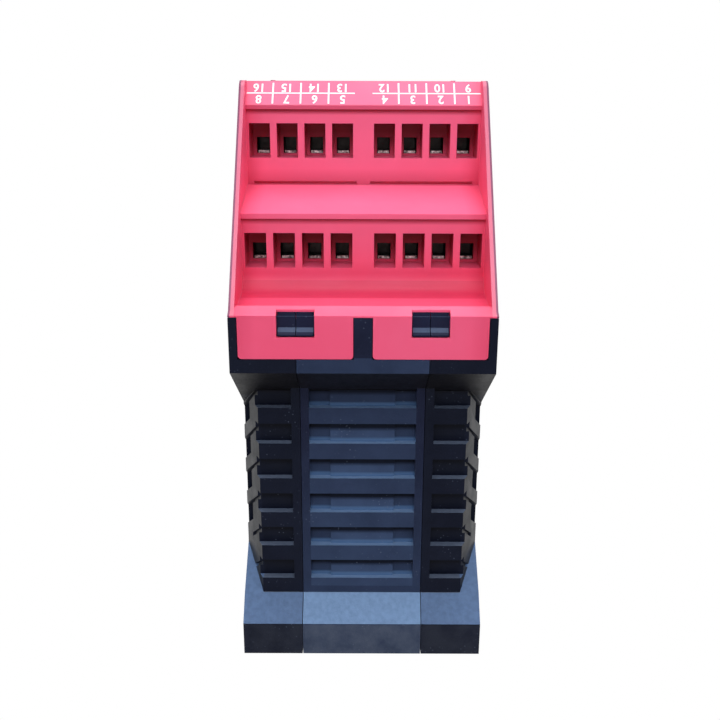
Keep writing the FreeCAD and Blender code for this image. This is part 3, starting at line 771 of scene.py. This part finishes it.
def rounded_copy(node: str, name: str, width: float) -> bpy.types.Object:
    """Copy a node's solid and round its edges, with normals that keep its walls flat.

    Args:
        node: The node's name.
        name: The new piece's name.
        width: The rounding's width in metres.

    Returns:
        The new piece, a plain mesh.
    """
    work = bmesh.new()
    work.from_mesh(bpy.data.objects[node].data)
    bmesh.ops.remove_doubles(work, verts=work.verts, dist=MERGE_GAP)
    bmesh.ops.dissolve_limit(work, angle_limit=FLAT_ANGLE, verts=work.verts, edges=work.edges)
    made = mesh_object(name + "_source", work)
    modify(made, "BEVEL", width=width, segments=BEVEL_SEGMENTS, limit_method="ANGLE",
           angle_limit=BEVEL_ANGLE, use_clamp_overlap=True)
    made = plain_mesh(made, name)
    shade_by_angle(made)
    modify(made, "WEIGHTED_NORMAL", mode="FACE_AREA", keep_sharp=True)
    return plain_mesh(made, name)


class RowTree:
    """A Geometry Nodes tree that repeats one shape along a line."""

    INPUTS = (("Shape", "NodeSocketObject"), ("Count", "NodeSocketInt"), ("Start", "NodeSocketVector"),
              ("Step", "NodeSocketVector"), ("Finish", "NodeSocketMaterial"))

    def __init__(self) -> None:
        """Build the tree once."""
        tree = bpy.data.node_groups.new("row_of_shapes", "GeometryNodeTree")
        self.tree = tree
        self.ids: dict[str, str] = {}
        for label, kind in self.INPUTS:
            item = tree.interface.new_socket(label, in_out="INPUT", socket_type=kind)
            self.ids[label] = item.identifier
        tree.interface.new_socket("Geometry", in_out="OUTPUT", socket_type="NodeSocketGeometry")
        start, line, shape, place, real, finish, end = (tree.nodes.new(kind) for kind in (
            "NodeGroupInput", "GeometryNodeMeshLine", "GeometryNodeObjectInfo",
            "GeometryNodeInstanceOnPoints", "GeometryNodeRealizeInstances", "GeometryNodeSetMaterial",
            "NodeGroupOutput"))
        links = (
            (start.outputs["Shape"], shape.inputs["Object"]),
            (start.outputs["Count"], line.inputs["Count"]),
            (start.outputs["Start"], line.inputs["Start Location"]),
            (start.outputs["Step"], line.inputs["Offset"]),
            (line.outputs["Mesh"], place.inputs["Points"]),
            (shape.outputs["Geometry"], place.inputs["Instance"]),
            (place.outputs["Instances"], real.inputs[0]),
            (real.outputs[0], finish.inputs["Geometry"]),
            (start.outputs["Finish"], finish.inputs["Material"]),
            (finish.outputs["Geometry"], end.inputs[0]))
        for first, second in links:
            tree.links.new(first, second)

    def lay(self, name: str, shape: bpy.types.Object, rows: Sequence[tuple[int, Point, Point]],
            finish: bpy.types.Material) -> bpy.types.Object:
        """Repeat a shape along one or more lines.

        Args:
            name: The new piece's name.
            shape: The shape at the origin, which is removed.
            rows: For each row its count, its start and its step in metres.
            finish: The material.

        Returns:
            One plain mesh object with all the rows.
        """
        parts = []
        for count, start, step in rows:
            holder = mesh_object(name + "_row", bmesh.new())
            row = holder.modifiers.new("row", "NODES")
            row.node_group = self.tree
            for label, value in zip(self.ids, (shape, count, start, step, finish)):
                row[self.ids[label]] = value
            parts.append(plain_mesh(holder, name + "_part"))
        bpy.data.objects.remove(shape)
        return merge(parts, name)


def merge(parts: Sequence[bpy.types.Object], name: str) -> bpy.types.Object:
    """Join plain mesh objects that share one material into one object."""
    work = bmesh.new()
    material = parts[0].data.materials[0]
    for part in parts:
        work.from_mesh(part.data)
        bpy.data.objects.remove(part)
    made = mesh_object(name, work)
    made.data.materials.append(material)
    for polygon in made.data.polygons:
        polygon.material_index = 0
    return made


def printed_bar(size: Point) -> bpy.types.Object:
    """A thin bar of print round the origin."""
    work = bmesh.new()
    bmesh.ops.create_cube(work, size=1.0, matrix=Matrix.Diagonal((*size, 1.0)))
    return mesh_object("bar", work)


@dataclass
class Palette:
    """Every finish on the relay, built once."""

    made: dict[str, bpy.types.Material] = field(default_factory=dict)

    def build(self) -> None:
        """Make all the materials."""
        finishes = (
            HoodPlastic("hood_red", (0.86, 0.085, 0.178), (0.9, 0.16, 0.3), roughness=0.45, mottle=0.3,
                        mottle_size=20.0 * MM, grain_depth=0.012 * MM, specular=0.2, coat=0.03,
                        coat_roughness=0.35),
            # The film and sill tones are dust with painted reflection.
            HousingPlastic("shell_dark", (0.0032, 0.0048, 0.013), (0.013, 0.017, 0.036),
                           roughness=0.42, mottle=0.3, mottle_size=10.0 * MM, grain_depth=0.03 * MM,
                           speckle=0.25, film=(0.132, 0.21, 0.375), recess=(0.003, 0.004, 0.009),
                           sill=(0.14, 0.17, 0.24), foot=(0.022, 0.025, 0.038), foot_share=0.8,
                           specular=0.08),
            HousingPlastic("centre_blue_black", (0.0095, 0.0115, 0.028), (0.03, 0.038, 0.08),
                           roughness=0.4, mottle=0.3, mottle_size=8.0 * MM, grain_depth=0.03 * MM,
                           speckle=0.32, film=(0.235, 0.365, 0.585), recess=(0.062, 0.098, 0.19),
                           sill=(0.18, 0.27, 0.43), foot=(0.085, 0.1, 0.14), foot_share=0.75,
                           low_share=0.3, fin_share=0.28, glow_share=0.9, face_share=0.3,
                           flank_share=0.0, specular=0.05),
            MouldedPlastic("terminal_black", (0.006, 0.006, 0.007), (0.02, 0.02, 0.022), roughness=0.6),
            MouldedPlastic("plate_dark", (0.012, 0.015, 0.026), (0.03, 0.036, 0.055), roughness=0.46,
                           speckle=0.2),
            MouldedPlastic("relay_cream", (0.62, 0.58, 0.47), (0.72, 0.69, 0.6), roughness=0.4),
            MouldedPlastic("lamp_epoxy", (0.75, 0.76, 0.66), (0.9, 0.9, 0.85), roughness=0.2),
            MouldedPlastic("latch_dark", (0.01, 0.011, 0.014), (0.03, 0.032, 0.04), roughness=0.5),
            MouldedPlastic("can_sleeve", (0.02, 0.03, 0.05), (0.08, 0.09, 0.12), roughness=0.3),
            MouldedPlastic("core_varnish", (0.06, 0.06, 0.07), (0.12, 0.11, 0.1), roughness=0.45,
                           mottle=0.6),
            # The dark tone is painted shade inside the wire holes.
            ClampMetal("clamp_tin", (0.95, 0.92, 0.9), (0.018, 0.015, 0.014)),
            BrightMetal("spring_wire", (0.6, 0.6, 0.6), (0.36, 0.35, 0.33), line_axis=1),
            BrightMetal("solder", (0.75, 0.75, 0.74), (0.45, 0.45, 0.43), roughness=0.35),
            BoardLacquer("board_green", (0.012, 0.11, 0.045), (0.03, 0.2, 0.08)),
            ClearPlastic("guide_clear", (0.9, 0.94, 0.93)),
            PrintInk("white_print", (0.86, 0.85, 0.86), (0.9, 0.6, 0.66)))
        for finish in finishes:
            self.made[finish.name] = finish.build()

    def __getitem__(self, name: str) -> bpy.types.Material:
        """A material by name."""
        return self.made[name]


@dataclass
class Workshop:
    """What every sub-assembly needs: the finishes and the row tree."""

    palette: Palette
    rows: RowTree

    def place(self, piece: bpy.types.Object, body: str, finish: str, slot: str,
              replaces: str | None = None) -> bpy.types.Object:
        """Dress a new piece and hang it on its body.

        Args:
            piece: The new piece.
            body: The body that it rides on.
            finish: The name of its finish.
            slot: The record's material slot; not used.
            replaces: The node that it stands for, or None.

        Returns:
            The piece.
        """
        dress(piece, self.palette[finish])
        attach(piece, body)
        if replaces is not None:
            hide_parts(replaces)
        LOG.info("%s: %d faces on %s", piece.name, len(piece.data.polygons), body)
        return piece

    def finish_node(self, node: str, finish: str) -> None:
        """Give a node of the frame its finish."""
        dress(bpy.data.objects[node], self.palette[finish])
        LOG.info("%s: finished in %s", node, finish)


@dataclass
class Housing:
    """The three modules of the dark housing."""

    shop: Workshop
    edge: float = 0.28 * MM
    modules: tuple[tuple[str, str, str], ...] = (
        ("left_shell", "shell_dark", "shell"),
        ("centre_frame", "centre_blue_black", "centre"),
        ("right_shell", "shell_dark", "shell"))

    def build(self) -> None:
        """Round the modules' edges and dress them."""
        for node, finish, slot in self.modules:
            piece = rounded_copy(node, node + "_moulding", self.edge)
            self.shop.place(piece, HOUSING_BODY, finish, slot, replaces=node)


@dataclass
class Hood:
    """One red terminal hood, with its print and the clamps behind it.

    The edge is in metres. The places and sizes of the print are in millimetres.
    """

    shop: Workshop
    end: End
    edge: float = 0.22 * MM
    roof_out: Band = (32.1, 100.8)
    ridge: Band = (28.3, 105.0)
    pitch: float = 5.08
    first_x: float = 3.84
    per_side: int = 4
    print_lift: float = 0.02
    print_thick: float = 0.03
    print_middle: float = 0.49
    digit_size: float = 2.65
    digit_narrow: float = 0.85
    digit_bold: float = 0.05
    digit_steps: int = 3
    digit_row: float = 1.34
    rule_height: float = 0.26
    rule_gap: float = 0.6
    tick_width: float = 0.3
    tick_share: float = 0.85

    def build(self) -> None:
        """Make the hood, its print and its clamps."""
        node = self.end.prefix + "_hood"
        self.shop.place(rounded_copy(node, node + "_moulding", self.edge), HOUSING_BODY, "hood_red",
                        "hood", replaces=node)
        self.print_marks()
        for row in ("upper", "lower"):
            self.shop.finish_node(f"{self.end.prefix}_{row}_block", "terminal_black")
            self.shop.finish_node(f"{self.end.prefix}_{row}_clamps", "clamp_tin")
        self.shop.finish_node(self.end.prefix + "_carrier", "terminal_black")

    def roof_matrix(self) -> Matrix:
        """Place of the print's plane: its X across the relay, its Y up the roof from the edge."""
        out = Vector((0.0, self.roof_out[0] * self.end.value, self.roof_out[1])) * MM
        top = Vector((0.0, self.ridge[0] * self.end.value, self.ridge[1])) * MM
        up = (top - out).normalized()
        across = Vector((-self.end.value, 0.0, 0.0))
        normal = across.cross(up)
        turn = Matrix((across, up, normal)).transposed().to_4x4()
        return Matrix.Translation(out) @ turn

    def print_marks(self) -> None:
        """Plain numbers over each column, with a rule and ticks between them."""
        length = math.hypot(self.roof_out[0] - self.ridge[0], self.roof_out[1] - self.ridge[1])
        middle = self.print_middle * length
        rules = []
        ticks = []
        for side in (-1.0, 1.0):
            centre = side * (self.first_x + self.pitch * (self.per_side - 1) / 2)
            first = centre - self.pitch * (self.per_side / 2 - 1)
            step = (self.pitch * MM, 0.0, 0.0)
            rules.append((1, (centre * MM, middle * MM, self.print_lift * MM), step))
            ticks.append((self.per_side - 1, (first * MM, middle * MM, self.print_lift * MM), step))
        ink = self.shop.palette["white_print"]
        span = self.pitch * self.per_side - self.rule_gap
        rule = printed_bar((span * MM, self.rule_height * MM, self.print_thick * MM))
        tick = printed_bar((self.tick_width * MM, self.tick_share * length * MM, self.print_thick * MM))
        name = self.end.prefix
        pieces = [
            self.shop.rows.lay(name + "_print_rules", rule, rules, ink),
            self.shop.rows.lay(name + "_print_ticks", tick, ticks, ink),
            self.numbers(middle)]
        for piece in pieces:
            piece.data.transform(self.roof_matrix())
            self.shop.place(piece, HOUSING_BODY, "white_print", "hood")

    def numbers(self, middle: float) -> bpy.types.Object:
        """Plain terminal numbers in two rows, to be read from the front of the relay."""
        parts = []
        places = [self.first_x + self.pitch * i for i in range(self.per_side)]
        columns = sorted([-x for x in places] + places, reverse=True)
        for row, offset in enumerate((-self.digit_row, self.digit_row)):
            for column, x in enumerate(columns):
                number = 1 + column + row * len(columns)
                parts.append(self.numeral(str(number), x, middle + offset))
        return merge(parts, self.end.prefix + "_print_numbers")

    def numeral(self, text: str, x: float, y: float) -> bpy.types.Object:
        """One number, turned to be read from the ridge, centred on a point in millimetres."""
        curve = bpy.data.curves.new("numeral", "FONT")
        curve.body = text
        curve.size = self.digit_size * MM
        curve.align_x = "CENTER"
        curve.align_y = "CENTER"
        curve.extrude = self.print_thick * MM / 2
        curve.offset = self.digit_bold * MM
        curve.resolution_u = self.digit_steps
        made = plain_mesh(linked("numeral", curve), "numeral_mesh")
        turned = Matrix.Rotation(math.pi, 4, "Z") @ Matrix.Diagonal((self.digit_narrow, 1.0, 1.0, 1.0))
        made.data.transform(Matrix.Translation(Vector((x, y, self.print_lift)) * MM) @ turned)
        dress(made, self.shop.palette["white_print"])
        return made


@dataclass
class FrontPanel:
    """The front plate with its light guide, and the board under it."""

    shop: Workshop
    edge: float = 0.3 * MM

    def build(self) -> None:
        """Make and dress the front."""
        piece = rounded_copy("front_plate", "front_plate_moulding", self.edge)
        self.shop.place(piece, HOUSING_BODY, "plate_dark", "plate", replaces="front_plate")
        for node, finish in (("light_guide", "guide_clear"), ("leds", "lamp_epoxy"),
                             ("front_board", "board_green")):
            self.shop.finish_node(node, finish)


@dataclass
class Electronics:
    """The boards and what is soldered to them."""

    shop: Workshop
    relay_edge: float = 0.5 * MM
    pin_pitch: float = 5.0 * MM
    pin_count: int = 6
    pin_first: float = 8.0 * MM
    pin_inset: float = 2.0 * MM
    joint_radius: float = 0.9 * MM
    joint_height: float = 0.5
    joint_segments: int = 10
    joint_rings: int = 6

    def build(self) -> None:
        """Make and dress the inner parts."""
        for node in ("left_board", "right_board"):
            self.shop.finish_node(node, "board_green")
        for node in ("near_left_relay", "near_right_relay", "far_left_relay", "far_right_relay"):
            piece = rounded_copy(node, node + "_case", self.relay_edge)
            self.shop.place(piece, HOUSING_BODY, "relay_cream", "relay_case", replaces=node)
        self.shop.finish_node("transformer", "core_varnish")
        self.shop.finish_node("capacitor", "can_sleeve")
        self.solder_joints()

    def solder_joints(self) -> None:
        """Solder joints of the relays on the outer face of each side board."""
        low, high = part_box("near_left_relay")
        heights = (low[2] + self.pin_inset, high[2] - self.pin_inset)
        for board, face in (("left_board", 0), ("right_board", 1)):
            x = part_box(board)[face][0]
            rows = [(self.pin_count, (x, way * self.pin_first, z), (0.0, way * self.pin_pitch, 0.0))
                    for way in (-1.0, 1.0) for z in heights]
            joints = self.shop.rows.lay(board + "_solder", self.joint(), rows,
                                        self.shop.palette["solder"])
            self.shop.place(joints, HOUSING_BODY, "solder", "clamp_metal")

    def joint(self) -> bpy.types.Object:
        """One flattened drop of solder round the origin."""
        work = bmesh.new()
        bmesh.ops.create_uvsphere(work, u_segments=self.joint_segments, v_segments=self.joint_rings,
                                  radius=self.joint_radius)
        bmesh.ops.scale(work, vec=(self.joint_height, 1.0, 1.0), verts=work.verts)
        return mesh_object("joint", work)


@dataclass
class RailLatch:
    """The sprung latch on the rail side."""

    shop: Workshop
    edge: float = 0.2 * MM
    wire_edge: float = 0.13 * MM
    travel: float = 3.0 * MM

    def build(self) -> None:
        """Make and dress the latch and its spring."""
        piece = rounded_copy("rail_latch", "rail_latch_slider", self.edge)
        self.shop.place(piece, LATCH_BODY, "latch_dark", "latch", replaces="rail_latch")
        coil = rounded_copy("latch_spring", "latch_spring_coil", self.wire_edge)
        self.shop.place(coil, HOUSING_BODY, "spring_wire", "spring_steel", replaces="latch_spring")
        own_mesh(coil)


@dataclass(frozen=True)
class Lamp:
    """One square soft lamp, with its size in metres and its power in watts."""

    name: str
    place: Point
    size: float
    power: float
    colour: Colour


@dataclass
class Studio:
    """Floor, backdrop, lamps and the camera of the photograph."""

    camera_place: Point = (-0.5 * MM, -201.25 * MM, 105.16 * MM)
    pitch: float = 17.27
    roll: float = 0.2
    lens: float = 45.0
    sensor: float = 36.0
    clip_start: float = 0.01
    floor_size: float = 6.0
    floor_bend: float = 0.5
    floor_steps: int = 16
    floor_top: float = 2.5
    floor_dark: Colour = (0.5, 0.5, 0.5)
    floor_light: Colour = (0.54, 0.54, 0.54)
    floor_mottle: float = 0.4
    floor_roughness: float = 0.85
    floor_specular: float = 0.2
    sky: Colour = (0.93, 0.96, 1.0)
    sky_strength: float = 0.22
    aim: Point = (0.0, 0.0, 0.06)
    rig: tuple[Lamp, ...] = (
        Lamp("overhead", (0.0, 0.05, 0.95), 0.6, 8.0, WHITE),
        Lamp("over_camera", (0.0, -0.62, 0.66), 0.5, 4.2, (0.86, 0.93, 1.0)),
        Lamp("left_fill", (-0.8, -0.35, 0.35), 0.5, 1.2, (0.95, 0.97, 1.0)),
        Lamp("right_fill", (0.8, -0.35, 0.35), 0.5, 1.2, (0.95, 0.97, 1.0)))

    def build(self) -> None:
        """Make the studio."""
        self.floor()
        self.world()
        for lamp in self.rig:
            self.hang(lamp)
        self.camera()

    def pale(self, name: str) -> bpy.types.Material:
        """White to the camera, in gloss and through glass, and a plain pale floor to other light."""
        graph = Graph(name)
        path = graph.node("ShaderNodeLightPath", {}, {})
        camera, gloss, glass = (Value(graph, path.outputs[f"Is {kind} Ray"])
                                for kind in ("Camera", "Glossy", "Transmission"))
        seen = camera + gloss + glass
        graph.set(
            Base_Color=graph.blend(graph.noise(self.floor_mottle), self.floor_dark, self.floor_light),
            Roughness=self.floor_roughness,
            Specular_IOR_Level=self.floor_specular)
        glow = graph.node("ShaderNodeEmission", {}, {"Color": WHITE, "Strength": 1.0})
        mix = graph.node("ShaderNodeMixShader", {}, {})
        graph.feed(mix.inputs[0], seen)
        graph.feed(mix.inputs[1], graph.surface.outputs["BSDF"])
        graph.feed(mix.inputs[2], glow.outputs[0])
        output = next(n for n in graph.tree.nodes if n.type == "OUTPUT_MATERIAL")
        graph.feed(output.inputs["Surface"], mix.outputs[0])
        return graph.material

    def floor(self) -> None:
        """A pale floor that turns up into a backdrop."""
        work = bmesh.new()
        half = self.floor_size / 2
        radius = self.floor_bend
        line = [(-half, 0.0)]
        for i in range(self.floor_steps + 1):
            turn = math.pi / 2 * i / self.floor_steps
            line.append((half - radius + radius * math.sin(turn), radius - radius * math.cos(turn)))
        line.append((half, self.floor_top))
        left = [work.verts.new((-half, y, z)) for y, z in line]
        right = [work.verts.new((half, y, z)) for y, z in line]
        for i in range(len(line) - 1):
            work.faces.new((left[i], right[i], right[i + 1], left[i + 1]))
        bmesh.ops.recalc_face_normals(work, faces=work.faces)
        made = mesh_object("floor", work)
        for polygon in made.data.polygons:
            polygon.use_smooth = True
        dress(made, self.pale("floor_pale"))

    def world(self) -> None:
        """An even pale world, white to the camera, in gloss and through glass."""
        world = bpy.data.worlds.new("studio")
        bpy.context.scene.world = world
        world.use_nodes = True
        tree = world.node_tree
        tree.nodes.clear()
        path = tree.nodes.new("ShaderNodeLightPath")
        even = tree.nodes.new("ShaderNodeBackground")
        even.inputs["Color"].default_value = (*self.sky, 1.0)
        even.inputs["Strength"].default_value = self.sky_strength
        white = tree.nodes.new("ShaderNodeBackground")
        white.inputs["Color"].default_value = (*WHITE, 1.0)
        mix = tree.nodes.new("ShaderNodeMixShader")
        output = tree.nodes.new("ShaderNodeOutputWorld")
        seen = path.outputs["Is Camera Ray"]
        for kind in ("Is Glossy Ray", "Is Transmission Ray"):
            total = tree.nodes.new("ShaderNodeMath")
            total.operation = "ADD"
            tree.links.new(seen, total.inputs[0])
            tree.links.new(path.outputs[kind], total.inputs[1])
            seen = total.outputs[0]
        tree.links.new(seen, mix.inputs[0])
        tree.links.new(even.outputs[0], mix.inputs[1])
        tree.links.new(white.outputs[0], mix.inputs[2])
        tree.links.new(mix.outputs[0], output.inputs["Surface"])

    def hang(self, lamp: Lamp) -> None:
        """Hang one lamp, aimed at the middle of the relay."""
        data = bpy.data.lights.new(lamp.name, "AREA")
        data.shape = "SQUARE"
        data.size = lamp.size
        data.energy = lamp.power
        data.color = lamp.colour
        made = linked(lamp.name, data)
        turn = (Vector(lamp.place) - Vector(self.aim)).to_track_quat("Z", "Y").to_matrix().to_4x4()
        made.matrix_world = Matrix.Translation(lamp.place) @ turn

    def camera(self) -> None:
        """The camera, at the photograph's place and angle."""
        data = bpy.data.cameras.new("camera")
        data.lens = self.lens
        data.sensor_width = self.sensor
        data.clip_start = self.clip_start
        made = linked("camera", data)
        tilt = Matrix.Rotation(math.radians(90.0 - self.pitch), 4, "X")
        roll = Matrix.Rotation(math.radians(self.roll), 4, "Z")
        made.matrix_world = Matrix.Translation(self.camera_place) @ tilt @ roll
        bpy.context.scene.camera = made


def main() -> None:
    """Build the relay around its frame, and the studio."""
    logging.basicConfig(level=logging.INFO, format="%(name)s %(message)s")
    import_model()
    bpy.context.scene.view_settings.view_transform = "Standard"
    palette = Palette()
    palette.build()
    shop = Workshop(palette, RowTree())
    assemblies = (Housing(shop), Hood(shop, End.NEAR), Hood(shop, End.FAR), FrontPanel(shop),
                  Electronics(shop), RailLatch(shop), Studio())
    for assembly in assemblies:
        assembly.build()


if __name__ == "__main__":
    main()
